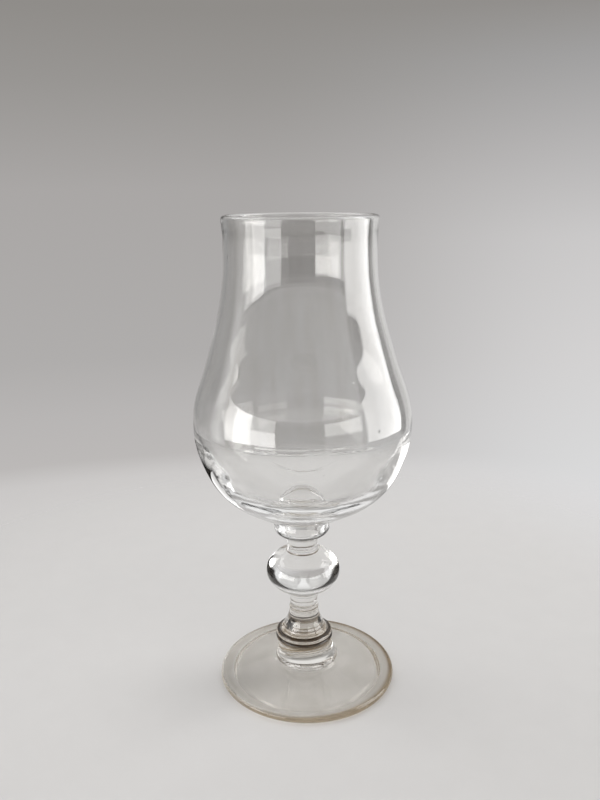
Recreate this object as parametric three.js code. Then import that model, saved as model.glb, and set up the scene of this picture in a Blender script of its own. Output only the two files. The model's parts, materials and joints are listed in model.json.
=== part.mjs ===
// Footed beer glass, blown and tooled by hand.
// Eight gathers of clear glass, joined hot one above the other: foot, lower merese, stem base,
// lower neck, ball knop, upper neck, upper merese and bowl.
// Millimetres, +Z up. The origin is on the table, under the middle of the bowl.

import * as THREE from 'three';

// Heights of the gathers, from the table upwards
const footHeight = 16.5;
const lowerMereseHeight = 1.75;
const stemBaseHeight = 9.45;
const lowerNeckHeight = 7.0;
const knopHeight = 15.7;
const upperNeckHeight = 5.3;
const upperMereseHeight = 7.6;
const bowlHeight = 106.7;

// Radii of the flat faces at which the gathers meet
const footJointRadius = 10.0;
const mereseJointRadius = 9.3;
const stemBaseJointRadius = 5.45;
const knopJointRadius = 5.95;
const upperNeckJointRadius = 5.95;
const bowlJointRadius = 9.2;

// Bowl
const bellyRadius = 38.15;
const bellyRise = 36.3;
const waistRadius = 25.75;
const waistHeight = 6.1;
const lipRadius = 26.15;
const lipThickness = 2.2;
const lipBeadHeight = 5.4;
const bowlFloor = 6.4;
const bowlFloorDip = 0.4;
const bellyWall = 1.2;
const waistWall = 1.5;

// Upper merese, the cup-shaped collar under the bowl
const upperMereseRadius = 9.8;
const upperMereseEdgeRise = 3.0;
const upperMereseEdgeRound = 1.3;
const upperMereseRootRise = 0.5;
const upperMereseRootRadius = 6.6;

// Necks above and below the knop
const upperNeckRadius = 5.7;
const lowerNeckRadius = 5.2;
const neckFillet = 0.9;
const neckCollarRadius = 6.25;
const neckCollarHeight = 1.6;

// Ball knop
const knopRadius = 13.5;

// Stem base, a trumpet that ends in a rounded edge
const stemShoulderRadius = 5.75;
const stemShoulderDrop = 1.0;
const trumpetRadius = 8.9;
const stemBaseRadius = 9.5;
const stemBaseEdgeHeight = 0.65;

// Lower merese, a thin wafer
const lowerMereseRadius = 10.4;

// Foot
const footRadius = 32.7;
const footEdgeHeight = 2.7;
const footEdgeWidth = 1.5;
const foldWidth = 6.2;
const foldRise = 0.9;
const foldLip = 0.5;
const restWidth = 3.6;
const discRise = 6.9;
const discThickness = 2.4;
const buttonRadius = 10.15;
const buttonFlareRadius = 12.6;
const buttonRimRadius = 10.65;
const buttonRimHeight = 1.5;
const kickRise = 5.3;
const kickRadius = 11.5;
const pontilRadius = 7.4;
const pontilDepth = 0.8;
const pontilEdge = 0.5;

// Sideways wander of the glass's centre line, at the middle of each gather that shows it
const footWander = 0.85;
const stemBaseWander = -0.15;
const knopWander = -0.35;
const upperMereseWander = -0.65;
const lipWander = -0.35;

// Bowl below the belly: shares of the belly radius, of the belly's rise and of the added wall
const lowerBowlShares = [
  [0.42, 0.081, 0.86],
  [0.56, 0.167, 0.71],
  [0.7, 0.268, 0.54],
  [0.815, 0.394, 0.37],
  [0.93, 0.628, 0.22],
  [0.985, 0.82, 0.09],
];

// Bowl above the belly: shares of the height to the waist and of the narrowing that is left
const upperBowlShares = [
  [0.105, 0.965],
  [0.22, 0.82],
  [0.333, 0.63],
  [0.45, 0.462],
  [0.566, 0.303],
  [0.682, 0.165],
  [0.8, 0.068],
  [0.9, 0.018],
];

// Trumpet of the stem base: shares of its drop and of its widening
const trumpetShares = [
  [0.2, 0.02],
  [0.4, 0.08],
  [0.6, 0.24],
  [0.77, 0.46],
  [0.9, 0.74],
];

// Button of the foot: shares of its drop to the disc and of its flare
const buttonShares = [
  [0.25, 0.02],
  [0.55, 0.18],
  [0.82, 0.5],
];

// Facets around a gather, and steps along its curves
const facets = 44;
const bowlSteps = 30;
const edgeSteps = 4;
const knopSteps = 12;

// Levels of the joints, stacked from the heights
const lowerMereseLevel = footHeight;
const stemBaseLevel = lowerMereseLevel + lowerMereseHeight;
const lowerNeckLevel = stemBaseLevel + stemBaseHeight;
const knopLevel = lowerNeckLevel + lowerNeckHeight;
const upperNeckLevel = knopLevel + knopHeight;
const upperMereseLevel = upperNeckLevel + upperNeckHeight;
const bowlLevel = upperMereseLevel + upperMereseHeight;
const bellyLevel = bowlLevel + bellyRise;
const rimLevel = bowlLevel + bowlHeight;
const beadLevel = rimLevel - lipBeadHeight;
const waistLevel = beadLevel - waistHeight;

// Clear glass with the faint warm grey of old soda glass, and a warmer tint in the thick foot
const clearGlass = { color: 0xdfe3df, roughness: 0.05, metalness: 0 };
const footGlass = { color: 0xd8d1bf, roughness: 0.08, metalness: 0 };

function point(radius, level) {
  return new THREE.Vector2(radius, level);
}

function smoothCurve(points, steps) {
  return new THREE.SplineCurve(points).getPoints(steps);
}

// Half ellipse that bulges from one joint radius out to a widest radius and back to another
function bulge(lowRadius, lowLevel, highRadius, highLevel, outRadius, steps) {
  const points = [];
  for (let step = 0; step <= steps; step++) {
    const share = step / steps;
    const angle = Math.PI * share;
    const root = THREE.MathUtils.lerp(lowRadius, highRadius, share);
    const level = (lowLevel + highLevel - (highLevel - lowLevel) * Math.cos(angle)) / 2;
    points.push(point(root + (outRadius - root) * Math.sin(angle), level));
  }
  return points;
}

// Quarter or half circle about a centre, angles measured from the outward direction
function arc(centreRadius, centreLevel, size, startAngle, endAngle, steps) {
  const points = [];
  for (let step = 0; step <= steps; step++) {
    const angle = THREE.MathUtils.lerp(startAngle, endAngle, step / steps);
    points.push(point(centreRadius + size * Math.cos(angle), centreLevel + size * Math.sin(angle)));
  }
  return points;
}

// Sideways place of the centre line at a level, eased from one gather to the next
const wanderStops = [
  [discRise, footWander],
  [footHeight, stemBaseWander],
  [lowerNeckLevel, stemBaseWander],
  [knopLevel + knopHeight / 2, knopWander],
  [upperMereseLevel, upperMereseWander],
  [bowlLevel, upperMereseWander],
  [bowlLevel + bellyRise / 2, 0],
  [bellyLevel, 0],
  [waistLevel, lipWander],
];

function wanderAt(level) {
  let place = footWander;
  for (let stop = 1; stop < wanderStops.length; stop++) {
    const [lowLevel, lowPlace] = wanderStops[stop - 1];
    const [highLevel, highPlace] = wanderStops[stop];
    if (level > lowLevel) {
      const ease = THREE.MathUtils.smoothstep(level, lowLevel, highLevel);
      place = THREE.MathUtils.lerp(lowPlace, highPlace, ease);
    }
  }
  return place;
}

// Turned solid from an outline that starts and ends on the axis, with its centre line's wander
function gather(name, outline, glass) {
  const geometry = new THREE.LatheGeometry(outline, facets);
  geometry.rotateX(Math.PI / 2);
  const places = geometry.attributes.position;
  for (let index = 0; index < places.count; index++) {
    places.setX(index, places.getX(index) + wanderAt(places.getZ(index)));
  }
  const mesh = new THREE.Mesh(geometry, new THREE.MeshStandardMaterial(glass));
  mesh.name = name;
  return mesh;
}

// Stations of the bowl's outer wall, each with the wall's thickness there
function bowlStations() {
  const stations = [{ place: point(bowlJointRadius, bowlLevel), wall: bowlFloor }];
  for (const [radiusShare, riseShare, wallShare] of lowerBowlShares) {
    stations.push({
      place: point(bellyRadius * radiusShare, bowlLevel + bellyRise * riseShare),
      wall: THREE.MathUtils.lerp(bellyWall, bowlFloor, wallShare),
    });
  }
  stations.push({ place: point(bellyRadius, bellyLevel), wall: bellyWall });
  for (const [heightShare, narrowingShare] of upperBowlShares) {
    stations.push({
      place: point(
        THREE.MathUtils.lerp(waistRadius, bellyRadius, narrowingShare),
        THREE.MathUtils.lerp(bellyLevel, waistLevel, heightShare),
      ),
      wall: THREE.MathUtils.lerp(bellyWall, waistWall, heightShare),
    });
  }
  stations.push({ place: point(waistRadius, waistLevel), wall: waistWall });
  return stations;
}

// Inner wall: each station moved inwards by the wall, square to the outer curve
function innerWall(stations) {
  const places = stations.map((station) => station.place);
  return stations.map((station, index) => {
    const before = places[Math.max(index - 1, 0)];
    const after = places[Math.min(index + 1, places.length - 1)];
    const along = after.clone().sub(before).normalize();
    return point(station.place.x - along.y * station.wall, station.place.y + along.x * station.wall);
  });
}

function makeBowl() {
  const stations = bowlStations();
  const lipRound = lipThickness / 2;
  const lipLevel = rimLevel - lipRound;
  const outer = smoothCurve(stations.map((station) => station.place), bowlSteps);
  const beadMiddle = point((waistRadius + lipRadius) / 2, (beadLevel + lipLevel) / 2);
  const lip = arc(lipRadius - lipRound, lipLevel, lipRound, 0, Math.PI, edgeSteps);
  const cavity = smoothCurve([
    point(lipRadius - lipThickness, beadLevel),
    ...innerWall(stations).reverse(),
    point(0, bowlLevel + bowlFloor - bowlFloorDip),
  ], bowlSteps);
  const outline = [
    point(0, bowlLevel),
    ...outer,
    point(waistRadius, beadLevel),
    beadMiddle,
    ...lip,
    ...cavity,
  ];
  return gather('bowl', outline, clearGlass);
}

function makeUpperMerese() {
  const edgeLevel = upperMereseLevel + upperMereseEdgeRise;
  const rootLevel = upperMereseLevel + upperMereseRootRise;
  const cup = smoothCurve([
    point(upperNeckJointRadius, upperMereseLevel),
    point(upperMereseRootRadius, rootLevel),
    point(upperMereseRadius - upperMereseEdgeRound, edgeLevel - upperMereseEdgeRound),
    point(upperMereseRadius, edgeLevel),
    point(bowlJointRadius, bowlLevel),
  ], 2 * edgeSteps);
  return gather('upper_merese', [point(0, upperMereseLevel), ...cup, point(0, bowlLevel)], clearGlass);
}

function makeUpperNeck() {
  const side = smoothCurve([
    point(knopJointRadius, upperNeckLevel),
    point(upperNeckRadius, upperNeckLevel + neckFillet),
    point(upperNeckRadius, upperMereseLevel - 2 * neckFillet),
    point(upperNeckJointRadius, upperMereseLevel),
  ], edgeSteps);
  return gather('upper_neck', [point(0, upperNeckLevel), ...side, point(0, upperMereseLevel)], clearGlass);
}

// Flattened ball: an ellipse cut off above and below where its radius is that of the necks
function makeKnop() {
  const middle = knopLevel + knopHeight / 2;
  const cutAngle = Math.acos(knopJointRadius / knopRadius);
  const halfHeight = knopHeight / 2 / Math.sin(cutAngle);
  const side = [];
  for (let step = 0; step <= knopSteps; step++) {
    const angle = THREE.MathUtils.lerp(-cutAngle, cutAngle, step / knopSteps);
    side.push(point(knopRadius * Math.cos(angle), middle + halfHeight * Math.sin(angle)));
  }
  return gather('ball_knop', [point(0, knopLevel), ...side, point(0, upperNeckLevel)], clearGlass);
}

// Lower neck, with a small collar where it was pulled from the knop
function makeLowerNeck() {
  const collarLevel = knopLevel - neckCollarHeight;
  const side = smoothCurve([
    point(stemBaseJointRadius, lowerNeckLevel),
    point(lowerNeckRadius, lowerNeckLevel + neckFillet),
    point(lowerNeckRadius, collarLevel - neckFillet / 2),
  ], edgeSteps);
  const collar = bulge(lowerNeckRadius, collarLevel, knopJointRadius, knopLevel, neckCollarRadius, edgeSteps);
  return gather(
    'lower_neck',
    [point(0, lowerNeckLevel), ...side, ...collar, point(0, knopLevel)],
    clearGlass,
  );
}

function makeStemBase() {
  const shoulderLevel = lowerNeckLevel - stemShoulderDrop;
  const edgeLevel = stemBaseLevel + stemBaseEdgeHeight;
  const flare = trumpetShares.map(([dropShare, widenShare]) => point(
    THREE.MathUtils.lerp(stemShoulderRadius, trumpetRadius, widenShare),
    THREE.MathUtils.lerp(shoulderLevel, edgeLevel, dropShare),
  ));
  const edge = bulge(mereseJointRadius, stemBaseLevel, trumpetRadius, edgeLevel, stemBaseRadius, edgeSteps);
  const trumpet = smoothCurve([
    point(trumpetRadius, edgeLevel),
    ...flare.reverse(),
    point(stemShoulderRadius, shoulderLevel),
    point(stemBaseJointRadius, lowerNeckLevel),
  ], 2 * edgeSteps);
  return gather(
    'stem_base',
    [point(0, stemBaseLevel), ...edge, ...trumpet.slice(1), point(0, lowerNeckLevel)],
    clearGlass,
  );
}

function makeLowerMerese() {
  const edge = bulge(
    footJointRadius,
    lowerMereseLevel,
    mereseJointRadius,
    stemBaseLevel,
    lowerMereseRadius,
    edgeSteps,
  );
  return gather(
    'lower_merese',
    [point(0, lowerMereseLevel), ...edge, point(0, stemBaseLevel)],
    clearGlass,
  );
}

// Underside of the foot from the axis outwards: pontil scar, kick, folded edge and resting ring
function footUnderside() {
  const restRadius = footRadius - footEdgeWidth;
  const foldRadius = footRadius - foldWidth;
  return [
    point(0, kickRise),
    point(pontilRadius - 2 * pontilEdge, kickRise - pontilEdge),
    point(pontilRadius, kickRise - pontilDepth),
    point(pontilRadius + pontilEdge, kickRise),
    point(kickRadius, discRise - discThickness),
    point(foldRadius - foldLip, foldRise + foldLip),
    point(foldRadius, foldRise),
    point(restRadius - restWidth, 0),
    point(restRadius, 0),
  ];
}

function makeFoot() {
  const buttonRimLevel = footHeight - buttonRimHeight;
  const shoulderRadius = footRadius - footEdgeWidth;
  const edge = bulge(shoulderRadius, 0, shoulderRadius, footEdgeHeight, footRadius, edgeSteps);
  const disc = smoothCurve([
    point(shoulderRadius, footEdgeHeight),
    point(footRadius - foldWidth, footEdgeHeight + foldRise),
    point(buttonFlareRadius, discRise),
  ], edgeSteps);
  const button = smoothCurve([
    point(buttonFlareRadius, discRise),
    ...buttonShares.map(([dropShare, flareShare]) => point(
      THREE.MathUtils.lerp(buttonRadius, buttonFlareRadius, flareShare),
      THREE.MathUtils.lerp(buttonRimLevel, discRise, dropShare),
    )).reverse(),
    point(buttonRadius, buttonRimLevel),
  ], edgeSteps);
  const rim = bulge(
    buttonRadius,
    buttonRimLevel,
    footJointRadius,
    footHeight,
    buttonRimRadius,
    edgeSteps,
  );
  const outline = [
    ...footUnderside(),
    ...edge.slice(1),
    ...disc.slice(1),
    ...button.slice(1),
    ...rim.slice(1),
    point(0, footHeight),
  ];
  return gather('foot', outline, footGlass);
}

const glass = new THREE.Group();
glass.add(makeFoot());
glass.add(makeLowerMerese());
glass.add(makeStemBase());
glass.add(makeLowerNeck());
glass.add(makeKnop());
glass.add(makeUpperNeck());
glass.add(makeUpperMerese());
glass.add(makeBowl());

export default glass;
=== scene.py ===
"""Footed beer glass, blown and tooled by hand, on a pale studio floor.

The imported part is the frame. Each of its gathers of glass is replaced by a finely turned one with
smooth walls, a hand-made ripple, seeds in the glass and wear on the foot.
"""

import json
import math

import bmesh
import bpy
import numpy as np
from bpy.props import FloatProperty, FloatVectorProperty, IntProperty, PointerProperty
from mathutils import Matrix, Vector

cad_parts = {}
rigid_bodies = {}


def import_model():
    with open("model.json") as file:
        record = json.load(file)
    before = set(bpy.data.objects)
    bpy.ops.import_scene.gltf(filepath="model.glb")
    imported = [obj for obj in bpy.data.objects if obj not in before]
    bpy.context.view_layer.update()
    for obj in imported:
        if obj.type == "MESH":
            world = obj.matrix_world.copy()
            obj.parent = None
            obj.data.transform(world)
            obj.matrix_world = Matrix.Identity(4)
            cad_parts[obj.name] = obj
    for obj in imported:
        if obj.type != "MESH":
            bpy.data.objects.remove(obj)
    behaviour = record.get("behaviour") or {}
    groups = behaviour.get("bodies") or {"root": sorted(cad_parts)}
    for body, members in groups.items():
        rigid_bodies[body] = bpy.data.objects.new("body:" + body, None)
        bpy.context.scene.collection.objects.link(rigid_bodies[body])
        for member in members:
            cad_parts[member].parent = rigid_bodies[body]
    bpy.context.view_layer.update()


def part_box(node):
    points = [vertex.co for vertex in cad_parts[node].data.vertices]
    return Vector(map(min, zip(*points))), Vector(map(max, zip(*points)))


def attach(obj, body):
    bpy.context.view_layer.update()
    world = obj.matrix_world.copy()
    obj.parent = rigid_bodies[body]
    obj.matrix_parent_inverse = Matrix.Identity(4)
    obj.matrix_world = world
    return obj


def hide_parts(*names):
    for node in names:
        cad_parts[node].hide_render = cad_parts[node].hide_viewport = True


bl_info = {
    "name": "Footed beer glass",
    "version": (1, 0, 0),
    "blender": (4, 5, 0),
    "location": "View3D > Sidebar > Beer glass",
    "description": "Builds a hand-made footed beer glass, gather by gather, and its studio",
    "category": "Add Mesh",
}

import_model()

MM = 0.001

# Levels and radii of the frame's gathers, in millimetres


def levels(node):
    low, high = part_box(node)
    return low.z / MM, high.z / MM


def half_width(node):
    low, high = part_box(node)
    return (high.y - low.y) / 2 / MM


FOOT_TOP = levels("foot")[1]
STEM_BASE_LEVEL, NECK_LEVEL = levels("stem_base")
KNOP_LEVEL, UPPER_NECK_LEVEL = levels("ball_knop")
KNOP_MIDDLE = (KNOP_LEVEL + UPPER_NECK_LEVEL) / 2
MERESE_LEVEL, BOWL_LEVEL = levels("upper_merese")
RIM_LEVEL = levels("bowl")[1]

# Radii of the flat faces at which the gathers meet
FOOT_JOINT = 10.0
WAFER_JOINT = 8.5
STEM_BASE_JOINT = 5.45
KNOP_JOINT = 5.95
BOWL_JOINT = 9.2

# Bowl: the belly's rise, the waist below the lip's bead, and how thick the glass is
BELLY_RISE = 36.3
WAIST_RADIUS = 25.75
WAIST_LEVEL = RIM_LEVEL - 11.5
BEAD_LEVEL = RIM_LEVEL - 5.4
LIP_RADIUS = 26.15
LIP_THICKNESS = 2.2
BOWL_FLOOR = 6.4
BELLY_WALL = 1.2
WAIST_WALL = 1.5

# Shares of the belly radius, of its rise and of the wall that is added towards the bottom
LOWER_BOWL = (
    (0.42, 0.081, 0.86),
    (0.56, 0.167, 0.71),
    (0.7, 0.268, 0.54),
    (0.815, 0.394, 0.37),
    (0.93, 0.628, 0.22),
    (0.985, 0.82, 0.09),
)

# Shares of the height from belly to waist, and of the narrowing that is left
UPPER_BOWL = (
    (0.105, 0.965),
    (0.22, 0.82),
    (0.333, 0.63),
    (0.45, 0.462),
    (0.566, 0.303),
    (0.682, 0.165),
    (0.8, 0.068),
    (0.9, 0.018),
)

# Trumpet of the stem base and button of the foot: shares of their drop and of their flare
TRUMPET = (
    (0.0, 0.0),
    (0.15, 0.045),
    (0.32, 0.15),
    (0.49, 0.3),
    (0.655, 0.49),
    (0.81, 0.69),
    (0.93, 0.865),
    (1.0, 1.0),
)
BUTTON = ((0.0, 0.0), (0.25, 0.02), (0.55, 0.18), (0.82, 0.5), (1.0, 1.0))

# Sideways place of the centre line at each level, eased from one to the next
WANDER = (
    (6.9, 0.85),
    (FOOT_TOP, -0.15),
    (NECK_LEVEL, -0.15),
    (KNOP_MIDDLE, -0.35),
    (MERESE_LEVEL, -0.65),
    (BOWL_LEVEL, -0.65),
    (BOWL_LEVEL + BELLY_RISE / 2, 0.0),
    (BOWL_LEVEL + BELLY_RISE, 0.0),
    (WAIST_LEVEL, -0.35),
)

# How much the bowl's painted lightening slants down from front to back, and what the melt's streaks
# let through
LIGHTENED_SLANT = 0.34
MELT_STREAK = (0.955, 0.95, 0.94)
# The foot's folded edge lets a little less through, from its inner side out
FOLD_SHADE = (0.9, 0.893, 0.88, 1.0)
# Roughness that haze and scuffs add, half width of a tool mark, and depth of a seed's dimple
HAZE = 0.03
SCUFFS = 0.35
MARK_WIDTH = 0.5
SEED_DEPTH = 0.22

# A blown wall is never quite round: the millimetres of height in which its pattern of two lobes
# and its pattern of three turn by a radian
TWO_LOBES_TURN = 31.0
THREE_LOBES_TURN = 17.0
# Facets that meet at less than this angle are shaded as one smooth wall
SMOOTH_ANGLE = math.radians(32)

# Curves and turned solids


def smooth_curve(points, count):
    """Natural cubic spline through points of radius and level, as count + 1 points."""
    points = np.array(points, float)
    steps = np.linalg.norm(np.diff(points, axis=0), axis=1)
    places = np.concatenate([[0.0], np.cumsum(steps)])
    size = len(points)
    system = np.eye(size)
    sides = np.zeros((size, 2))
    for i in range(1, size - 1):
        before, after = steps[i - 1], steps[i]
        system[i, i - 1 : i + 2] = before, 2 * (before + after), after
        sides[i] = 6 * ((points[i + 1] - points[i]) / after - (points[i] - points[i - 1]) / before)
    bends = np.linalg.solve(system, sides)
    wanted = np.linspace(0.0, places[-1], count + 1)
    index = np.clip(np.searchsorted(places, wanted) - 1, 0, size - 2)
    step = steps[index][:, None]
    low = (places[index + 1] - wanted)[:, None]
    high = (wanted - places[index])[:, None]
    return (
        bends[index] * low**3 / (6 * step)
        + bends[index + 1] * high**3 / (6 * step)
        + (points[index] / step - bends[index] * step / 6) * low
        + (points[index + 1] / step - bends[index + 1] * step / 6) * high
    )


def bulge(low, high, out_radius, count=16):
    """Half ellipse from one point of radius and level to another, out to a widest radius."""
    curve = []
    for share in np.linspace(0.0, 1.0, count + 1):
        angle = math.pi * share
        root = low[0] + (high[0] - low[0]) * share
        level = (low[1] + high[1] - (high[1] - low[1]) * math.cos(angle)) / 2
        curve.append((root + (out_radius - root) * math.sin(angle), level))
    return np.array(curve)


def flare(top, bottom, shares):
    """Points from a narrow top down to a wide bottom by shares of drop and of flare."""
    return [
        (top[0] + (bottom[0] - top[0]) * widen, top[1] + (bottom[1] - top[1]) * drop)
        for drop, widen in shares
    ]


def join(*curves):
    """One outline from curves, each point that repeats the last left out."""
    outline = []
    for curve in curves:
        for place in np.atleast_2d(np.array(curve, float)):
            if not outline or np.linalg.norm(place - outline[-1]) > 1e-4:
                outline.append(place)
    return np.array(outline)


def wander(level):
    """Sideways place of the glass's centre line at a level."""
    place = WANDER[0][1]
    for (low, start), (high, end) in zip(WANDER, WANDER[1:]):
        if level > low:
            share = min(max((level - low) / (high - low), 0.0), 1.0)
            place = start + (end - start) * share * share * (3 - 2 * share)
    return place


def turned(name, outline, glass, joints):
    """Turned solid from an outline that starts and ends on the axis, in millimetres.

    The flat faces at the joint levels get the joint material, so light runs through the glass
    from one gather to the next.
    """
    sizes = bpy.context.scene.beer_glass_sizes
    around = sizes.facets
    mesh = bmesh.new()
    rings = []
    for radius, level in outline:
        centre = wander(level)
        if radius < 1e-6:
            rings.append([mesh.verts.new((centre * MM, 0.0, level * MM))])
            continue
        ring = []
        for i in range(around):
            angle = 2 * math.pi * i / around
            two_lobes = math.cos(2 * angle + level / TWO_LOBES_TURN)
            lobes = two_lobes + math.cos(3 * angle - level / THREE_LOBES_TURN)
            far = radius - radius * sizes.out_of_round * (0.5 + 0.25 * lobes)
            ring.append(
                mesh.verts.new(
                    ((centre + far * math.cos(angle)) * MM, far * math.sin(angle) * MM, level * MM)
                )
            )
        rings.append(ring)
    for index, (low, high) in enumerate(zip(rings, rings[1:])):
        levels_here = outline[index][1], outline[index + 1][1]
        is_joint = any(
            abs(levels_here[0] - joint) < 1e-4 and abs(levels_here[1] - joint) < 1e-4
            for joint in joints
        )
        for i in range(around):
            j = (i + 1) % around
            if len(low) == 1:
                corners = (low[0], high[j], high[i])
            elif len(high) == 1:
                corners = (low[i], low[j], high[0])
            else:
                corners = (low[i], low[j], high[j], high[i])
            face = mesh.faces.new(corners)
            face.smooth = True
            face.material_index = 1 if is_joint else 0
    bmesh.ops.recalc_face_normals(mesh, faces=mesh.faces)
    for edge in mesh.edges:
        edge.smooth = len(edge.link_faces) == 2 and edge.calc_face_angle(0.0) < SMOOTH_ANGLE
    data = bpy.data.meshes.new(name)
    mesh.to_mesh(data)
    mesh.free()
    data.materials.append(glass)
    if joints:
        data.materials.append(joint_material())
    piece = bpy.data.objects.new(name, data)
    bpy.context.scene.collection.objects.link(piece)
    return piece


def stand_for(piece, node):
    """The piece rides on the glass and stands for its CAD node, which it hides."""
    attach(piece, "root")
    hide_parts(node)


# Nodes and materials


def opaque(colour):
    """Colour with full alpha, as colour sockets and ramp stops hold it."""
    return (*colour, 1.0)


class Nodes:
    """Short ways to add, set and link the nodes of one node tree.

    What feeds a node is another node's output or a fixed value.
    """

    def __init__(self, tree):
        self.tree = tree
        tree.nodes.clear()

    def add(self, kind, **values):
        node = self.tree.nodes.new(kind)
        for key, value in values.items():
            setattr(node, key, value)
        return node

    def feed(self, source, socket):
        if isinstance(source, bpy.types.NodeSocket):
            self.tree.links.new(source, socket)
        else:
            socket.default_value = source

    def feed_all(self, node, sources):
        for source, socket in zip(sources, node.inputs):
            self.feed(source, socket)

    def math(self, operation, *sources):
        node = self.add("ShaderNodeMath", operation=operation)
        self.feed_all(node, sources)
        return node.outputs["Value"]

    def vector(self, operation, output, *sources):
        node = self.add("ShaderNodeVectorMath", operation=operation)
        self.feed_all(node, sources)
        return node.outputs[output]

    def split(self, source):
        """The X, Y and Z of a place or direction."""
        node = self.add("ShaderNodeSeparateXYZ")
        self.feed(source, node.inputs["Vector"])
        return node.outputs["X"], node.outputs["Y"], node.outputs["Z"]

    def ranged(self, source, start, end, low=0.0, high=1.0, interpolation="LINEAR"):
        """Goes from low to high while the source goes from start to end, and no further."""
        node = self.add("ShaderNodeMapRange", interpolation_type=interpolation)
        node.inputs["From Min"].default_value = start
        node.inputs["From Max"].default_value = end
        node.inputs["To Min"].default_value = low
        node.inputs["To Max"].default_value = high
        self.feed(source, node.inputs["Value"])
        return node.outputs["Result"]

    def eased(self, source, start, end, low=0.0, high=1.0):
        return self.ranged(source, start, end, low, high, "SMOOTHSTEP")

    def noise(self, place, scale, detail=2.0):
        node = self.add("ShaderNodeTexNoise")
        node.inputs["Scale"].default_value = scale
        node.inputs["Detail"].default_value = detail
        self.feed(place, node.inputs["Vector"])
        return node.outputs["Fac"]

    def ramp(self, source, stops):
        """Colour ramp with its stops given as places and colours."""
        node = self.add("ShaderNodeValToRGB")
        elements = node.color_ramp.elements
        while len(elements) > 1:
            elements.remove(elements[-1])
        for index, (place, colour) in enumerate(stops):
            element = elements[0] if index == 0 else elements.new(place)
            element.position = place
            element.color = colour
        self.feed(source, node.inputs["Fac"])
        return node.outputs["Color"]

    def mix(self, share, first, second, blend_type="MIX"):
        node = self.add("ShaderNodeMix", data_type="RGBA", blend_type=blend_type)
        self.feed(share, node.inputs["Factor"])
        self.feed(first, node.inputs["A"])
        self.feed(second, node.inputs["B"])
        return node.outputs["Result"]

    def mix_shaders(self, share, first, second):
        node = self.add("ShaderNodeMixShader")
        self.feed_all(node, (share, first, second))
        return node.outputs["Shader"]

    def finish_with(self, shader, output="ShaderNodeOutputMaterial"):
        self.feed(shader, self.add(output).inputs["Surface"])


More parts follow.
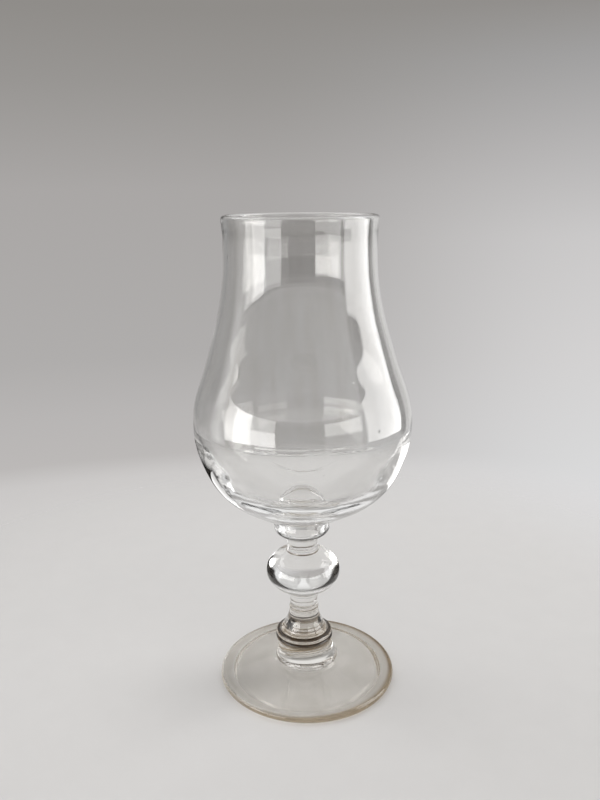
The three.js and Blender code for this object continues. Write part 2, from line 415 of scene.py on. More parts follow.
class GlassNodes(Nodes):
    """Nodes of one glass, by the place on it and by how far its surface turns from the eye."""

    def __init__(self, tree, finish):
        super().__init__(tree)
        self.finish = finish
        self.place = self.add("ShaderNodeTexCoord").outputs["Object"]
        self.x, self.y, self.z = self.split(self.place)
        layer = self.add("ShaderNodeLayerWeight")
        layer.inputs["Blend"].default_value = 0.5
        self.facing = layer.outputs["Facing"]

    def squeezed(self, height_scale):
        """The place with its height scaled, which draws a noise out along the axis."""
        node = self.add("ShaderNodeMapping")
        node.inputs["Scale"].default_value = (1.0, 1.0, height_scale)
        self.feed(self.place, node.inputs["Vector"])
        return node.outputs["Vector"]

    def melt(self, tint, lightened_below):
        """Tint with a slow drift from melt to melt, lightened below a slanted level as painted
        light.
        """
        drift = self.noise(self.squeezed(0.04), 150.0, 3.0)
        streak = opaque(c * share for c, share in zip(tint, MELT_STREAK))
        melt = self.ramp(drift, ((0.4, tint), (0.65, streak)))
        if lightened_below is not None:
            start, end, lightened_tint = lightened_below
            slanted = self.vector("DOT_PRODUCT", "Value", self.place, (0.0, LIGHTENED_SLANT, 1.0))
            melt = self.mix(self.eased(slanted, start * MM, end * MM), melt, lightened_tint)
        return melt

    def painted_shade_share(self, facing, rise, fall, raggedness=0.0, lean=0.0, outer_only=False):
        """Share of painted shade, near black, on the sides between a rise and a fall in level.

        It comes in from one facing to another. raggedness tears its outline, and lean moves it
        towards -X.
        """
        band = self.math(
            "MULTIPLY",
            self.eased(self.z, rise[0] * MM, rise[1] * MM),
            self.eased(self.z, fall[1] * MM, fall[0] * MM),
        )
        if outer_only:
            # The low bowl's outside faces down and its inside faces up
            upward = self.split(self.add("ShaderNodeTexCoord").outputs["Normal"])[2]
            back = self.add("ShaderNodeNewGeometry").outputs["Backfacing"]
            upward = self.math("MULTIPLY", upward, self.math("MULTIPLY_ADD", back, -2.0, 1.0))
            band = self.math("MULTIPLY", band, self.eased(upward, 0.0, -0.02))
        rags = self.noise(self.place, 260.0, 3.0)
        torn = self.math("MULTIPLY_ADD", rags, raggedness, self.facing)
        leaned = self.math("MULTIPLY_ADD", self.x, -lean, torn)
        return self.math("MULTIPLY", self.eased(leaned, *facing), band)

    def banded(self, base, start, end, band_tint):
        """Tinted beyond a radius, eased from a start to an end."""
        flat = self.vector("MULTIPLY", "Vector", self.place, (1.0, 1.0, 0.0))
        radius = self.vector("LENGTH", "Value", flat)
        return self.mix(self.eased(radius, start * MM, end * MM), base, band_tint, "MULTIPLY")

    def crease_shaded(self, base, level, reach, thickness):
        """Painted shade at a groove: its level, how far it reaches and how much of it there is."""
        away = self.math("ABSOLUTE", self.math("SUBTRACT", self.z, level * MM))
        shading = self.math("MULTIPLY", self.eased(away, reach * MM, reach / 3 * MM), thickness)
        shade_film = self.add("ShaderNodeGamma")
        shade_film.inputs["Color"].default_value = opaque(self.finish.crease_shade)
        self.feed(shading, shade_film.inputs["Gamma"])
        return self.mix(1.0, base, shade_film.outputs["Color"], "MULTIPLY")

    def flecked(self, base, x, y, z, size):
        """A dark fleck with a frayed outline, which reaches about 0.6 of its size."""
        away = self.vector("DISTANCE", "Value", self.place, (x * MM, y * MM, z * MM))
        fray = self.noise(self.place, 900.0)
        frayed = self.math("MULTIPLY_ADD", fray, 1.6 * size * MM, away)
        share = self.eased(frayed, 1.5 * size * MM, 1.3 * size * MM)
        return self.mix(share, base, opaque(self.finish.near_black_tint))

    def roughness(self, worn_below):
        """Fire-polished, a little haze in places, and scuffed where it rests."""
        haze = self.noise(self.place, 240.0, 4.0)
        polish = self.finish.polish
        rough = self.ranged(haze, 0.45, 0.8, polish, polish + HAZE)
        if worn_below is None:
            return rough
        return self.math("ADD", rough, self.ranged(self.z, worn_below * MM, 0.0, 0.0, SCUFFS))

    def ripple(self, marks):
        """Height of the blown wall's ripple, with faint upright striations and tool marks.

        Each mark is a broken arc on the front: level, bend per metre, reach to each side and
        height as a multiple of the ripple.
        """
        strain = self.noise(self.squeezed(0.16), 170.0)
        height = self.math("MULTIPLY_ADD", self.noise(self.place, 45.0, 1.0), 4.0, strain)
        if not marks:
            return height
        breaks = self.eased(self.noise(self.place, 120.0), 0.4, 0.55)
        aside = self.math("MULTIPLY", self.x, self.x)
        front = self.eased(self.y, 0.0, -5.0 * MM)
        for level, bend, reach, depth in marks:
            arc = self.math("MULTIPLY_ADD", aside, -bend, self.z)
            away = self.math("ABSOLUTE", self.math("SUBTRACT", arc, level * MM))
            broken = self.math("MULTIPLY", self.eased(away, MARK_WIDTH * MM, 0.0), breaks)
            middle = self.eased(aside, (reach * MM) ** 2, (reach * MM) ** 2 / 3)
            broken = self.math("MULTIPLY", broken, self.math("MULTIPLY", middle, front))
            height = self.math("MULTIPLY_ADD", broken, depth, height)
        return height

    def seeds(self):
        """Very small bubbles near the surface, in a few cells of the glass."""
        cells = self.add("ShaderNodeTexVoronoi", feature="F1")
        cells.inputs["Scale"].default_value = 130.0
        self.feed(self.place, cells.inputs["Vector"])
        seed = self.eased(cells.outputs["Distance"], 0.075, 0.0)
        colour = self.add("ShaderNodeSeparateColor")
        self.feed(cells.outputs["Color"], colour.inputs["Color"])
        chosen = self.math("LESS_THAN", colour.outputs["Red"], self.finish.seed_share)
        return self.math("MULTIPLY", seed, chosen)

    def bump(self, height, depth, normal=None):
        node = self.add("ShaderNodeBump")
        node.inputs["Strength"].default_value = 1.0
        node.inputs["Distance"].default_value = depth
        self.feed(height, node.inputs["Height"])
        if normal is not None:
            self.feed(normal, node.inputs["Normal"])
        return node.outputs["Normal"]


def new_material(name):
    material = bpy.data.materials.new(name)
    material.use_nodes = True
    return material


def joint_material():
    """Clear face inside the glass, where one gather was joined hot to the next."""
    material = bpy.data.materials.get("hot_joint")
    if material:
        return material
    material = new_material("hot_joint")
    nodes = Nodes(material.node_tree)
    clear = nodes.add("ShaderNodeBsdfTransparent")
    clear.inputs["Color"].default_value = (1.0, 1.0, 1.0, 1.0)
    nodes.finish_with(clear.outputs["BSDF"])
    return material


def glass_material(
    name,
    tint,
    edge,
    painted_shade_sides=None,
    lightened_below=None,
    bands=(),
    crease_shade=(),
    flecks=(),
    marks=(),
    worn_below=None,
    solid=False,
):
    """Old clear glass: a tint that deepens at the grazing edge, partly as painted shade, ripple,
    seeds and light wear.

    edge is from what facing to what facing the edge tint comes in, where the eye looks along the
    wall: a darkening that is partly the longer path through the glass and partly painted shade, and
    near black on a solid piece. painted_shade_sides holds what painted_shade_share of GlassNodes
    takes, painted shade on the sides. lightened_below is between which levels a clearer tint comes
    in, painted light that brightens the glass, and that tint. bands, grime, flecks and marks list
    what banded, dirtied, flecked and ripple take; grime is painted shade at the grooves and joints.
    Below the level worn_below the glass is scuffed.
    """
    finish = bpy.context.scene.beer_glass_finish
    material = new_material(name)
    nodes = GlassNodes(material.node_tree, finish)
    # Darker where the eye looks along the wall: partly the longer path through the glass, partly
    # painted shade
    grazing_shade_share = nodes.eased(nodes.facing, *edge)
    grazing_tint_and_shade = finish.near_black_tint if solid else finish.grazing_tint_and_shade
    base = nodes.mix(grazing_shade_share, nodes.melt(tint, lightened_below), opaque(grazing_tint_and_shade))
    if painted_shade_sides is not None:
        # Painted shade: the sides go near black between two levels, by facing
        base = nodes.mix(nodes.painted_shade_share(**painted_shade_sides), base, opaque(finish.near_black_tint))
    for band in bands:
        base = nodes.banded(base, *band)
    # Painted shade at each groove and joint
    for groove in crease_shade:
        base = nodes.crease_shaded(base, *groove)
    for fleck in flecks:
        base = nodes.flecked(base, *fleck)
    glass = nodes.add("ShaderNodeBsdfPrincipled")
    glass.inputs["Transmission Weight"].default_value = 1.0
    glass.inputs["IOR"].default_value = 1.5
    nodes.feed(base, glass.inputs["Base Color"])
    nodes.feed(nodes.roughness(worn_below), glass.inputs["Roughness"])
    rippled = nodes.bump(nodes.ripple(marks), finish.ripple * MM)
    nodes.feed(nodes.bump(nodes.seeds(), SEED_DEPTH * MM, rippled), glass.inputs["Normal"])
    nodes.finish_with(glass.outputs["BSDF"])
    return material


def bowl_glass():
    """The thin melt of the blown bowl; painted light makes its thick bottom clearer and brighter.
    """
    finish = bpy.context.scene.beer_glass_finish
    return glass_material(
        "blown_glass",
        opaque(finish.tint),
        (0.86, 1.0),
        # Painted shade: the low bowl's outer sides go near black, torn and leaning to the left
        painted_shade_sides={
            "facing": (0.90, 0.96),
            "rise": (76.5, 78.5),
            "fall": (88.0, 92.0),
            "raggedness": 0.35,
            "lean": 4.0,
            "outer_only": True,
        },
        # Painted light: below a level that slants down to the back, the bowl takes the stem's
        # clearer tint
        lightened_below=(93.0, 82.5, opaque(finish.stem_tint)),
        marks=((99.9, -1.1, 24.0, 4.0), (101.3, -1.1, 16.0, 3.0), (94.4, 27.0, 11.0, 2.0)),
    )


def stem_glass():
    """The clear melt of the necks, with a little painted shade where they were joined."""
    finish = bpy.context.scene.beer_glass_finish
    return bpy.data.materials.get("drawn_glass") or glass_material(
        "drawn_glass",
        opaque(finish.stem_tint),
        (0.9, 1.0),
        crease_shade=((UPPER_NECK_LEVEL, 0.6, 0.8), (NECK_LEVEL, 0.4, 0.5)),
    )


def collar_glass():
    """The same melt in the collar, with specks of painted shade where its edge turns away."""
    finish = bpy.context.scene.beer_glass_finish
    return glass_material(
        "collar_glass",
        opaque(finish.stem_tint),
        (0.9, 1.0),
        painted_shade_sides={
            "facing": (0.66, 0.72),
            "rise": (57.8, 58.3),
            "fall": (59.6, 60.4),
            "raggedness": 0.4,
        },
    )


def trumpet_glass():
    """The same melt in the trumpet and the wafer, with painted shade in the grooves."""
    finish = bpy.context.scene.beer_glass_finish
    return bpy.data.materials.get("trumpet_glass") or glass_material(
        "trumpet_glass",
        opaque(finish.stem_tint),
        (0.88, 1.0),
        crease_shade=(
            (STEM_BASE_LEVEL + 3.1, 0.25, 0.35),
            (STEM_BASE_LEVEL + 2.0, 0.3, 0.5),
            (STEM_BASE_LEVEL + 1.2, 2.8, 0.14),
            (STEM_BASE_LEVEL, 0.45, 1.3),
            (FOOT_TOP, 0.7, 0.9),
        ),
        flecks=((-5.4, -4.2, 22.0, 3.4), (5.6, -2.6, 22.9, 2.0)),
    )


def knop_glass():
    """The solid ball, with painted shade on its two sides for the dark of the room it bends."""
    finish = bpy.context.scene.beer_glass_finish
    return glass_material(
        "solid_glass",
        opaque(finish.stem_tint),
        (0.88, 0.98),
        # Painted shade: near-black sides between two levels, and a near-black grazing edge as a
        # solid piece
        painted_shade_sides={
            "facing": (0.30, 0.36),
            "rise": (KNOP_MIDDLE - 3.1, KNOP_MIDDLE - 1.5),
            "fall": (KNOP_MIDDLE + 2.9, KNOP_MIDDLE + 3.7),
        },
        solid=True,
    )


def foot_glass():
    """The melt of the foot, darker partly as painted shade, warmer in its thick folded edge and
    scuffed underneath.
    """
    finish = bpy.context.scene.beer_glass_finish
    return glass_material(
        "foot_glass_blown",
        # Partly the foot's own tint, partly painted shade for the shadow under the foot
        opaque(finish.foot_tint_and_shade),
        (0.90, 1.0),
        bands=((26.8, 28.4, FOLD_SHADE), (30.8, 32.4, opaque(finish.fold_tint))),
        # Painted shade where the wafer sits on the foot
        crease_shade=((FOOT_TOP - 0.5, 1.8, 0.55), (FOOT_TOP, 0.6, 1.0)),
        worn_below=0.25,
    )


# Pieces


class BEERGLASS_OT_bowl(bpy.types.Operator):
    """Turn the tulip bowl with its fire-polished lip and thick bottom"""

    bl_idname = "beer_glass.bowl"
    bl_label = "Bowl"

    def execute(self, context):
        sizes = context.scene.beer_glass_sizes
        belly, belly_level = sizes.belly_radius / MM, BOWL_LEVEL + BELLY_RISE
        stations = [(BOWL_JOINT, BOWL_LEVEL, BOWL_FLOOR)]
        for radius_share, rise_share, wall_share in LOWER_BOWL:
            wall = BELLY_WALL + (BOWL_FLOOR - BELLY_WALL) * wall_share
            stations.append((belly * radius_share, BOWL_LEVEL + BELLY_RISE * rise_share, wall))
        stations.append((belly, belly_level, BELLY_WALL))
        for height_share, narrowing in UPPER_BOWL:
            stations.append(
                (
                    WAIST_RADIUS + (belly - WAIST_RADIUS) * narrowing,
                    belly_level + (WAIST_LEVEL - belly_level) * height_share,
                    BELLY_WALL + (WAIST_WALL - BELLY_WALL) * height_share,
                )
            )
        stations.append((WAIST_RADIUS, WAIST_LEVEL, WAIST_WALL))
        stations = np.array(stations)
        places = stations[:, :2]
        count = sizes.bowl_steps
        outer = smooth_curve(places, count)
        along = np.gradient(places, axis=0)
        along /= np.linalg.norm(along, axis=1)[:, None]
        inner = places + np.stack([-along[:, 1], along[:, 0]], axis=1) * stations[:, 2:]
        lip_round = LIP_THICKNESS / 2
        lip_level = RIM_LEVEL - lip_round
        arc = np.linspace(0.0, math.pi, 17)
        lip = np.stack(
            [LIP_RADIUS - lip_round + lip_round * np.cos(arc), lip_level + lip_round * np.sin(arc)],
            axis=1,
        )
        bead_out = smooth_curve(
            [
                places[-1],
                (WAIST_RADIUS - 0.02, BEAD_LEVEL - 0.6),
                (LIP_RADIUS - 0.17, BEAD_LEVEL + 1.9),
                lip[0],
            ],
            24,
        )
        bead_in = smooth_curve(
            [lip[-1], (LIP_RADIUS - LIP_THICKNESS - 0.02, BEAD_LEVEL + 1.2), inner[-1]], 24
        )
        floor = (0.0, BOWL_LEVEL + BOWL_FLOOR - 0.4)
        mirrored = [(-r, z) for r, z in inner[1::-1]]
        cavity = smooth_curve([*inner[::-1], floor, *mirrored[::-1]], count)
        cavity = cavity[cavity[:, 0] > 0.05]
        outline = join(
            (0.0, BOWL_LEVEL), outer, bead_out, lip, bead_in, cavity, (0.0, cavity[-1][1])
        )
        piece = turned("blown_bowl", outline, bowl_glass(), (BOWL_LEVEL,))
        stand_for(piece, "bowl")
        # Lamp light falls through the thin wall onto the floor
        piece.visible_shadow = False
        return {"FINISHED"}


class BEERGLASS_OT_upper_merese(bpy.types.Operator):
    """Turn the cup-shaped collar under the bowl"""

    bl_idname = "beer_glass.upper_merese"
    bl_label = "Upper merese"

    def execute(self, context):
        edge = half_width("upper_merese")
        edge_level = MERESE_LEVEL + 3.0
        side = smooth_curve(
            [
                (KNOP_JOINT, MERESE_LEVEL),
                (6.6, MERESE_LEVEL + 0.5),
                (edge - 1.3, edge_level - 1.3),
                (edge, edge_level),
                (BOWL_JOINT, BOWL_LEVEL),
            ],
            40,
        )
        outline = join((0.0, MERESE_LEVEL), side, (0.0, BOWL_LEVEL))
        piece = turned("cup_collar", outline, collar_glass(), (MERESE_LEVEL, BOWL_LEVEL))
        stand_for(piece, "upper_merese")
        return {"FINISHED"}


class BEERGLASS_OT_necks(bpy.types.Operator):
    """Draw out the two necks, above and below the knop"""

    bl_idname = "beer_glass.necks"
    bl_label = "Necks"

    def execute(self, context):
        waist = 5.7
        side = smooth_curve(
            [
                (KNOP_JOINT, UPPER_NECK_LEVEL),
                (waist, UPPER_NECK_LEVEL + 0.9),
                (waist, MERESE_LEVEL - 1.8),
                (KNOP_JOINT, MERESE_LEVEL),
            ],
            24,
        )
        outline = join((0.0, UPPER_NECK_LEVEL), side, (0.0, MERESE_LEVEL))
        piece = turned("neck_above_knop", outline, stem_glass(), (UPPER_NECK_LEVEL, MERESE_LEVEL))
        stand_for(piece, "upper_neck")

        waist = 5.2
        collar_start = (5.22, KNOP_LEVEL - 1.6)
        side = smooth_curve(
            [
                (STEM_BASE_JOINT, NECK_LEVEL),
                (waist, NECK_LEVEL + 0.9),
                (waist, collar_start[1] - 0.45),
                collar_start,
            ],
            24,
        )
        collar = bulge(collar_start, (KNOP_JOINT, KNOP_LEVEL), 6.25)
        outline = join((0.0, NECK_LEVEL), side, collar, (0.0, KNOP_LEVEL))
        piece = turned("neck_below_knop", outline, stem_glass(), (NECK_LEVEL, KNOP_LEVEL))
        stand_for(piece, "lower_neck")
        return {"FINISHED"}


class BEERGLASS_OT_knop(bpy.types.Operator):
    """Turn the flattened ball knop"""

    bl_idname = "beer_glass.knop"
    bl_label = "Ball knop"

    def execute(self, context):
        sizes = context.scene.beer_glass_sizes
        radius = sizes.knop_radius / MM
        cut = math.acos(KNOP_JOINT / radius)
        half_height = (UPPER_NECK_LEVEL - KNOP_LEVEL) / 2 / math.sin(cut)
        angles = np.linspace(-cut, cut, 73)
        rise = half_height * np.sin(angles)
        side = np.stack([radius * np.cos(angles), KNOP_MIDDLE + rise], axis=1)
        outline = join((0.0, KNOP_LEVEL), side, (0.0, UPPER_NECK_LEVEL))
        piece = turned("flattened_knop", outline, knop_glass(), (KNOP_LEVEL, UPPER_NECK_LEVEL))
        stand_for(piece, "ball_knop")
        return {"FINISHED"}


class BEERGLASS_OT_stem_base(bpy.types.Operator):
    """Turn the trumpet of the stem and the thin wafer under it"""

    bl_idname = "beer_glass.stem_base"
    bl_label = "Stem base and wafer"

    def execute(self, context):
        top = (5.34, NECK_LEVEL - 0.9)
        bottom = (8.55, STEM_BASE_LEVEL + 0.7)
        trumpet = smooth_curve(
            [*flare(top, bottom, TRUMPET)[::-1], (STEM_BASE_JOINT, NECK_LEVEL)], 60
        )
        edge = bulge((WAFER_JOINT, STEM_BASE_LEVEL), bottom, half_width("stem_base") - 0.5)
        outline = join((0.0, STEM_BASE_LEVEL), edge, trumpet, (0.0, NECK_LEVEL))
        piece = turned("trumpet_stem", outline, trumpet_glass(), (STEM_BASE_LEVEL, NECK_LEVEL))
        stand_for(piece, "stem_base")

        edge = bulge(
            (FOOT_JOINT, FOOT_TOP), (WAFER_JOINT, STEM_BASE_LEVEL), half_width("lower_merese")
        )
        outline = join((0.0, FOOT_TOP), edge, (0.0, STEM_BASE_LEVEL))
        piece = turned("thin_wafer", outline, trumpet_glass(), (FOOT_TOP, STEM_BASE_LEVEL))
        stand_for(piece, "lower_merese")
        return {"FINISHED"}


class BEERGLASS_OT_foot(bpy.types.Operator):
    """Turn the conical foot with its button, folded edge and pontil scar"""

    bl_idname = "beer_glass.foot"
    bl_label = "Foot"

    def execute(self, context):
        radius = half_width("foot")
        rest, fold = radius - 1.5, radius - 6.2
        scar, hollow, fold_under = (7.35, 4.5), (11.5, 4.5), (fold - 0.9, 1.3)
        rest_inside, rest_outside, fold_top = (rest - 3.6, 0.0), (rest, 0.0), (rest, 2.7)
        button_bottom, button_top = (12.6, 6.9), (10.15, 15.0)
        under = join(
            smooth_curve([(0.0, 5.3), (4.5, 5.1), (6.6, 4.75), scar], 16),
            smooth_curve([scar, (7.75, 5.0), (8.1, 5.3), hollow], 12),
            smooth_curve([hollow, (19.0, 2.85), fold_under], 24),
            smooth_curve([fold_under, (fold + 0.1, 0.75), rest_inside], 8),
            rest_outside,
        )
        edge = bulge(rest_outside, fold_top, radius, 20)
        disc = smooth_curve(
            [fold_top, (radius - 2.9, 3.0), (fold, 3.6), (19.3, 5.25), button_bottom], 48
        )
        button = smooth_curve(flare(button_top, button_bottom, BUTTON)[::-1], 40)
        rim = bulge(button_top, (FOOT_JOINT, FOOT_TOP), 10.65)
        outline = join(under, edge, disc, button, rim, (0.0, FOOT_TOP))
        piece = turned("folded_foot", outline, foot_glass(), (FOOT_TOP,))
        stand_for(piece, "foot")
        # Lamp light falls through the thin foot onto the floor under it
        piece.visible_shadow = False
        return {"FINISHED"}


# Studio

# Floor: its radius, its gap under the glass, and where it fades out into the backdrop
FLOOR_RADIUS = 0.6
FLOOR_GAP = 0.2
FLOOR_FADE = (0.13, 0.27)

# Backdrop's colour by height, from straight down at 0 to straight up at 1, and the two
# directions across between which its left side eases into its right side
BACKDROP_LEFT = (
    (0.318, (0.600, 0.585, 0.578, 1.0)),
    (0.329, (0.590, 0.575, 0.568, 1.0)),
    (0.340, (0.500, 0.483, 0.475, 1.0)),
    (0.365, (0.480, 0.465, 0.460, 1.0)),
    (0.40, (0.430, 0.418, 0.412, 1.0)),
    (0.50, (0.400, 0.385, 0.378, 1.0)),
    (0.56, (0.315, 0.303, 0.292, 1.0)),
    (0.60, (0.275, 0.263, 0.250, 1.0)),
    (0.68, (0.400, 0.390, 0.380, 1.0)),
)
BACKDROP_RIGHT = (
    (0.318, (0.715, 0.710, 0.715, 1.0)),
    (0.336, (0.700, 0.700, 0.705, 1.0)),
    (0.40, (0.660, 0.650, 0.650, 1.0)),
    (0.47, (0.600, 0.590, 0.590, 1.0)),
    (0.52, (0.480, 0.470, 0.470, 1.0)),
    (0.57, (0.360, 0.355, 0.355, 1.0)),
    (0.60, (0.285, 0.273, 0.262, 1.0)),
    (0.68, (0.400, 0.390, 0.380, 1.0)),
)
WALL_TURN = (-0.08, 0.40)
# Light from overhead: how bright it is behind the glass and on the camera's side
OVERHEAD_BEHIND = 1.0
OVERHEAD_FRONT = 0.6

# Panels round the glass: name, azimuths from the camera towards +X, bottom, top, and strength
# at each azimuth
PANELS = (
    ("panel_left_back", -150, -106, 56, 230, 0.35, 0.35),
    ("panel_left_far", -102, -90, 30, 240, 0.6, 2.1),
    ("panel_left_shade", -90, -80, 30, 240, 2.1, 1.4),
    ("panel_left_glow", -80, -58, 169, 240, 1.4, 1.1),
    ("panel_left_edge", -80, -69, 48, 168, 4.2, 4.2),
    ("panel_left_bright", -69, -50, 48, 168, 7.4, 7.4),
    ("panel_left_soft", -50, -26, 118, 168, 3.0, 2.8),
    ("panel_left_low", -50, -26, 52, 118, 6.0, 6.0),
    ("panel_front_dark", -26, 20, 20, 158, 0.02, 0.02),
    ("panel_front_high", -58, 62, 170, 240, 1.1, 1.25),
    ("panel_right_soft", 20, 57, 106, 158, 2.9, 3.1),
    ("panel_right_gap", 57, 63, 40, 182, 0.05, 0.05),
    ("panel_right_near", 63, 79, 45, 182, 4.0, 4.2),
    ("panel_right_tall", 79, 112, 45, 215, 4.3, 5.2),
    ("panel_right_line", 112, 124, 30, 280, 0.05, 0.05),
    ("panel_right_back", 126, 152, 30, 280, 0.8, 0.7),
)
PANEL_DISTANCE = 250.0
PANEL_COLUMNS = 13
PANEL_COLOUR = (1.0, 0.99, 0.975, 1.0)
# Share of a panel that shows after more than one mirror image
LATER_MIRRORS = 0.15
# Smaller cards nearer the glass: name, azimuths, bottom, top, strength, distances from the axis at
# the bottom and top, and the pieces that mirror them dark. Two are bright and slanted, and the
# others as bright as the floor and wall behind them
KNOP = ("flattened_knop",)
CARDS = (
    ("card_left", -142, -116, 16, 32, 2.6, 66, 102, KNOP),
    ("card_right", 108, 136, 44, 62, 2.6, 66, 102, KNOP),
    ("card_left_floor", -165, -98, 1, 30, 0.47, 105, 105, KNOP),
    ("card_left_wall", -165, -98, 30, 64, 0.45, 105, 105, (*KNOP, "blown_bowl")),
    ("card_right_floor", 98, 165, 1, 50, 0.5, 105, 105, KNOP),
)

# Lamps: name, place and share of the lamp power
LAMPS = (("lamp_left", (-0.75, 0.35, 0.95), 0.6), ("lamp_right", (0.85, 0.3, 0.9), 1.0))
LAMP_AIM = (0.0, 0.0, 0.05)
LAMP_SIZE = 0.7

# Camera: its place, and in degrees how far it looks down and how far it leans
CAMERA_PLACE = (-0.0009, -0.2641, 0.1786)
CAMERA_DOWN = 15.155
CAMERA_LEAN = -0.54

# Light runs a long way inside the thick glass before it leaves it
LIGHT_BOUNCES = 36
CLEAR_BOUNCES = 48


def stage_material(name, colour):
    """Matt floor that keeps shadows and fades out into the backdrop behind."""
    material = new_material(name)
    nodes = Nodes(material.node_tree)
    place = nodes.add("ShaderNodeTexCoord").outputs["Object"]
    grain = (0.3, opaque(colour)), (0.7, opaque(c * 0.985 for c in colour))
    matt = nodes.add("ShaderNodeBsdfDiffuse")
    nodes.feed(nodes.ramp(nodes.noise(place, 90.0), grain), matt.inputs["Color"])
    fade = nodes.eased(nodes.vector("LENGTH", "Value", place), *FLOOR_FADE)
    clear = nodes.add("ShaderNodeBsdfTransparent").outputs["BSDF"]
    nodes.finish_with(nodes.mix_shaders(fade, matt.outputs["BSDF"], clear))
    return material


def panel_material(name):
    """Soft light panel, seen whole in a single mirror image and faintly after several."""
    material = new_material(name)
    nodes = Nodes(material.node_tree)
    mirrors = nodes.add("ShaderNodeLightPath").outputs["Glossy Depth"]
    once = nodes.math("COMPARE", mirrors, 1.0, 0.1)
    later = nodes.math("GREATER_THAN", mirrors, 1.5)
    share = nodes.math("MULTIPLY_ADD", later, LATER_MIRRORS, once)
    # Only on the side towards the glass
    back = nodes.add("ShaderNodeNewGeometry").outputs["Backfacing"]
    glow = nodes.add("ShaderNodeEmission")
    glow.inputs["Color"].default_value = PANEL_COLOUR
    strength = nodes.add("ShaderNodeAttribute", attribute_name="glow").outputs["Fac"]
    nodes.feed(strength, glow.inputs["Strength"])
    clear = nodes.add("ShaderNodeBsdfTransparent").outputs["BSDF"]
    shown = nodes.math("MULTIPLY", share, back)
    nodes.finish_with(nodes.mix_shaders(shown, clear, glow.outputs["Emission"]))
    return material


def add_panel(
    name, start, end, bottom, top, start_strength, end_strength, low_distance, high_distance
):
    """Curved panel round the glass, between two levels and distances, lit on its inner side."""
    mesh = bmesh.new()
    glow = mesh.verts.layers.float.new("glow")
    columns = []
    for share in np.linspace(0.0, 1.0, PANEL_COLUMNS):
        azimuth = math.radians(start + (end - start) * share)
        column = []
        for level, distance in ((bottom, low_distance), (top, high_distance)):
            x, y = math.sin(azimuth) * distance, -math.cos(azimuth) * distance
            column.append(mesh.verts.new((x * MM, y * MM, level * MM)))
        for corner in column:
            corner[glow] = start_strength + (end_strength - start_strength) * share
        columns.append(column)
    for left, right in zip(columns, columns[1:]):
        mesh.faces.new((left[0], right[0], right[1], left[1]))
    data = bpy.data.meshes.new(name)
    mesh.to_mesh(data)
    mesh.free()
    data.materials.append(panel_material(name))
    panel = bpy.data.objects.new(name, data)
    bpy.context.scene.collection.objects.link(panel)
    panel.visible_camera = False
    panel.visible_shadow = False
    panel.visible_diffuse = False
    return panel


def keep_dark_on(panel, pieces):
    """Those pieces mirror the panel dark, and all others mirror its light."""
    lit = bpy.data.collections.new(f"{panel.name}_lit")
    for index, piece in enumerate(pieces):
        lit.objects.link(bpy.data.objects[piece])
        lit.collection_objects[index].light_linking.link_state = "EXCLUDE"
    panel.light_linking.receiver_collection = lit


def add_lamp(name, place, power):
    """Soft square lamp, seen neither by the camera nor through the glass."""
    light = bpy.data.lights.new(name, "AREA")
    light.shape = "SQUARE"
    light.size = LAMP_SIZE
    light.energy = power
    lamp = bpy.data.objects.new(name, light)
    lamp.location = place
    aim = Vector(LAMP_AIM) - Vector(place)
    lamp.rotation_euler = aim.to_track_quat("-Z", "Y").to_euler()
    lamp.visible_camera = False
    lamp.visible_transmission = False
    bpy.context.scene.collection.objects.link(lamp)


def set_world(scene, light_level):
    """Pale backdrop by height for eye, mirror and see-through rays, and an even soft light."""
    world = bpy.data.worlds.new("soft_studio")
    world.use_nodes = True
    nodes = Nodes(world.node_tree)
    across, depth, up = nodes.split(nodes.add("ShaderNodeTexCoord").outputs["Generated"])
    height = nodes.ranged(up, -1.0, 1.0)
    left, right = nodes.ramp(height, BACKDROP_LEFT), nodes.ramp(height, BACKDROP_RIGHT)
    wall = nodes.mix(nodes.eased(across, *WALL_TURN), left, right)
    # Overhead, where the camera never looks: a bright sweep behind and a dark room in front
    overhead = nodes.eased(depth, -0.30, 0.15, OVERHEAD_FRONT, OVERHEAD_BEHIND)
    seen = nodes.add("ShaderNodeBackground")
    nodes.feed(nodes.mix(nodes.eased(up, 0.40, 0.60), wall, overhead), seen.inputs["Color"])
    soft = nodes.add("ShaderNodeBackground")
    soft.inputs["Color"].default_value = (1.0, 0.995, 0.985, 1.0)
    soft.inputs["Strength"].default_value = light_level
    path = nodes.add("ShaderNodeLightPath").outputs
    shown = nodes.math("MAXIMUM", path["Is Camera Ray"], path["Is Glossy Ray"])
    shown = nodes.math("MAXIMUM", shown, path["Is Transmission Ray"])
    light = nodes.mix_shaders(shown, soft.outputs["Background"], seen.outputs["Background"])
    nodes.finish_with(light, "ShaderNodeOutputWorld")
    scene.world = world


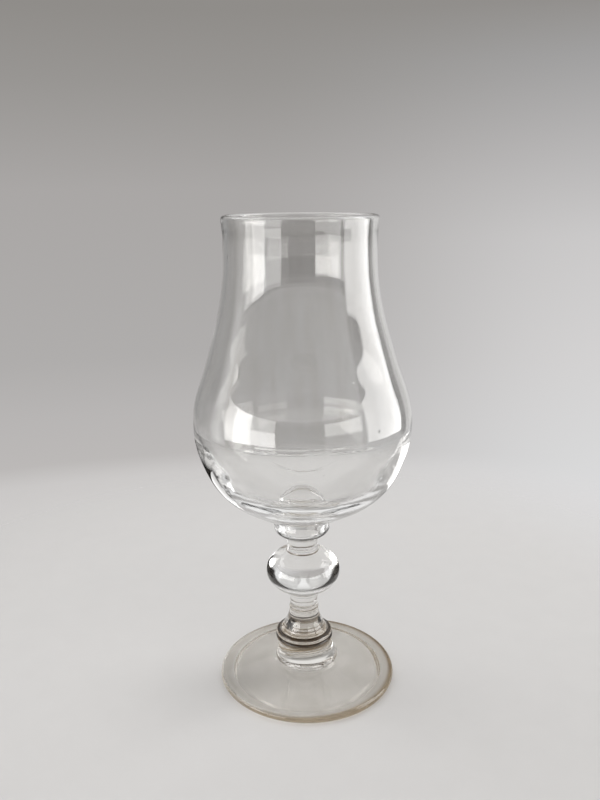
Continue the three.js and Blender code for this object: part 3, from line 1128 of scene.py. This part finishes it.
class BEERGLASS_OT_stage(bpy.types.Operator):
    """Set the floor, backdrop, lamps, light panels and camera"""

    bl_idname = "beer_glass.stage"
    bl_label = "Studio"

    def execute(self, context):
        scene = context.scene
        stage = scene.beer_glass_stage
        mesh = bmesh.new()
        bmesh.ops.create_circle(mesh, cap_ends=True, segments=96, radius=FLOOR_RADIUS)
        data = bpy.data.meshes.new("studio_floor")
        mesh.to_mesh(data)
        mesh.free()
        data.materials.append(stage_material("pale_floor", stage.floor_colour))
        floor = bpy.data.objects.new("studio_floor", data)
        floor.location.z = -FLOOR_GAP * MM
        scene.collection.objects.link(floor)

        for panel in PANELS:
            add_panel(*panel, PANEL_DISTANCE, PANEL_DISTANCE)
        for name, *sides, strength, low_distance, high_distance, dark_on in CARDS:
            card = add_panel(name, *sides, strength, strength, low_distance, high_distance)
            keep_dark_on(card, dark_on)
        for name, place, share in LAMPS:
            add_lamp(name, place, stage.lamp_power * share)
        set_world(scene, stage.light_level)

        camera_data = bpy.data.cameras.new("photo_camera")
        camera_data.sensor_width = 36.0
        camera_data.lens = stage.lens
        camera_data.clip_start = 0.01
        camera_data.clip_end = 20.0
        camera = bpy.data.objects.new("photo_camera", camera_data)
        camera.matrix_world = (
            Matrix.Translation(CAMERA_PLACE)
            @ Matrix.Rotation(math.radians(90 - CAMERA_DOWN), 4, "X")
            @ Matrix.Rotation(math.radians(CAMERA_LEAN), 4, "Z")
        )
        scene.collection.objects.link(camera)
        scene.camera = camera
        scene.view_settings.view_transform = "Standard"
        scene.cycles.max_bounces = LIGHT_BOUNCES
        scene.cycles.transmission_bounces = LIGHT_BOUNCES
        scene.cycles.glossy_bounces = LIGHT_BOUNCES
        scene.cycles.transparent_max_bounces = CLEAR_BOUNCES
        return {"FINISHED"}


# Values that a user would change


class BeerGlassSizes(bpy.types.PropertyGroup):
    belly_radius: FloatProperty(
        name="Belly radius",
        description="Radius of the bowl where it is widest",
        default=half_width("bowl") * MM,
        unit="LENGTH",
    )
    knop_radius: FloatProperty(
        name="Knop radius",
        description="Radius of the ball knop where it is widest",
        default=half_width("ball_knop") * MM,
        unit="LENGTH",
    )
    out_of_round: FloatProperty(
        name="Out of round",
        description="Share of its radius by which the hand-made glass strays from a circle",
        default=0.003,
        min=0.0,
        max=0.03,
        subtype="FACTOR",
    )
    facets: IntProperty(
        name="Facets",
        description="Facets round each gather",
        default=144,
        min=24,
        max=360,
    )
    bowl_steps: IntProperty(
        name="Bowl steps",
        description="Steps along the bowl's outer and inner curves",
        default=130,
        min=20,
        max=400,
    )


class BeerGlassFinish(bpy.types.PropertyGroup):
    tint: FloatVectorProperty(
        name="Glass tint",
        description="Colour that light keeps when it goes straight through the clear glass",
        default=(0.845, 0.845, 0.84),
        subtype="COLOR",
        min=0.0,
        max=1.0,
    )
    stem_tint: FloatVectorProperty(
        name="Stem tint",
        description="Colour that light keeps when it goes straight through the knop and stem",
        default=(0.97, 0.97, 0.965),
        subtype="COLOR",
        min=0.0,
        max=1.0,
    )
    # Colour at the grazing edge: partly the longer path through the glass, partly painted shade
    grazing_tint_and_shade: FloatVectorProperty(
        name="Edge tint",
        description="Colour of the glass where the eye looks along its wall",
        default=(0.12, 0.118, 0.115),
        subtype="COLOR",
        min=0.0,
        max=1.0,
    )
    # Near black: painted shade on the dark sides, the specks and the grazing edge of solid glass,
    # and the colour of the trumpet's two flecks
    near_black_tint: FloatVectorProperty(
        name="Thick edge tint",
        description="Colour of thick glass at its dark sides, specks and flecks",
        default=(0.004, 0.0035, 0.003),
        subtype="COLOR",
        min=0.0,
        max=1.0,
    )
    # Partly the glass's own colour, partly painted shade for the shadow under the foot
    foot_tint_and_shade: FloatVectorProperty(
        name="Foot tint",
        description="Colour of the glass of the foot",
        default=(0.805, 0.79, 0.76),
        subtype="COLOR",
        min=0.0,
        max=1.0,
    )
    fold_tint: FloatVectorProperty(
        name="Fold tint",
        description="Warm colour of the thick folded edge of the foot",
        default=(0.43, 0.315, 0.185),
        subtype="COLOR",
        min=0.0,
        max=1.0,
    )
    # Colour of the painted shade in the grooves of the stem and on top of the foot
    crease_shade: FloatVectorProperty(
        name="Grime",
        description="Colour of the old dirt in the grooves of the stem and on top of the foot",
        default=(0.02, 0.011, 0.005),
        subtype="COLOR",
        min=0.0,
        max=1.0,
    )
    polish: FloatProperty(
        name="Polish",
        description="Roughness of the fire-polished glass",
        default=0.004,
        min=0.0,
        max=0.3,
        subtype="FACTOR",
    )
    ripple: FloatProperty(
        name="Ripple",
        description="Depth in millimetres of the ripple in the blown wall",
        default=0.03,
        min=0.0,
        max=0.5,
    )
    seed_share: FloatProperty(
        name="Seeds",
        description="Share of places in the glass that hold a seed, a very small bubble",
        default=0.07,
        min=0.0,
        max=1.0,
        subtype="FACTOR",
    )


class BeerGlassStage(bpy.types.PropertyGroup):
    floor_colour: FloatVectorProperty(
        name="Floor colour",
        description="Colour of the matt studio floor",
        default=(0.66, 0.648, 0.64),
        subtype="COLOR",
        min=0.0,
        max=1.0,
    )
    lamp_power: FloatProperty(
        name="Lamp power",
        description="Power of the right lamp; the left one is weaker",
        default=6.0,
        min=0.0,
        unit="POWER",
    )
    light_level: FloatProperty(
        name="Soft light",
        description="Level of the even light from all round",
        default=0.60,
        min=0.0,
    )
    lens: FloatProperty(
        name="Lens",
        description="Focal length of the camera, on a sensor 36 mm long",
        default=35.325,
        min=10.0,
        subtype="DISTANCE_CAMERA",
    )


class BEERGLASS_PT_panel(bpy.types.Panel):
    """Sizes, finish and studio of the beer glass, and its pieces"""

    bl_idname = "BEERGLASS_PT_panel"
    bl_label = "Beer glass"
    bl_space_type = "VIEW_3D"
    bl_region_type = "UI"
    bl_category = "Beer glass"

    def draw(self, context):
        scene = context.scene
        for group in (scene.beer_glass_sizes, scene.beer_glass_finish, scene.beer_glass_stage):
            column = self.layout.column(align=True)
            for name in group.__annotations__:
                column.prop(group, name)
        column = self.layout.column(align=True)
        for operator in OPERATORS:
            column.operator(operator.bl_idname)


OPERATORS = (
    BEERGLASS_OT_bowl,
    BEERGLASS_OT_upper_merese,
    BEERGLASS_OT_necks,
    BEERGLASS_OT_knop,
    BEERGLASS_OT_stem_base,
    BEERGLASS_OT_foot,
    BEERGLASS_OT_stage,
)
CLASSES = (BeerGlassSizes, BeerGlassFinish, BeerGlassStage, *OPERATORS, BEERGLASS_PT_panel)


def register():
    for each in CLASSES:
        bpy.utils.register_class(each)
    bpy.types.Scene.beer_glass_sizes = PointerProperty(type=BeerGlassSizes)
    bpy.types.Scene.beer_glass_finish = PointerProperty(type=BeerGlassFinish)
    bpy.types.Scene.beer_glass_stage = PointerProperty(type=BeerGlassStage)


def unregister():
    del bpy.types.Scene.beer_glass_stage
    del bpy.types.Scene.beer_glass_finish
    del bpy.types.Scene.beer_glass_sizes
    for each in reversed(CLASSES):
        bpy.utils.unregister_class(each)


def main():
    register()
    bpy.ops.beer_glass.bowl()
    bpy.ops.beer_glass.upper_merese()
    bpy.ops.beer_glass.necks()
    bpy.ops.beer_glass.knop()
    bpy.ops.beer_glass.stem_base()
    bpy.ops.beer_glass.foot()
    bpy.ops.beer_glass.stage()


if __name__ == "__main__":
    main()
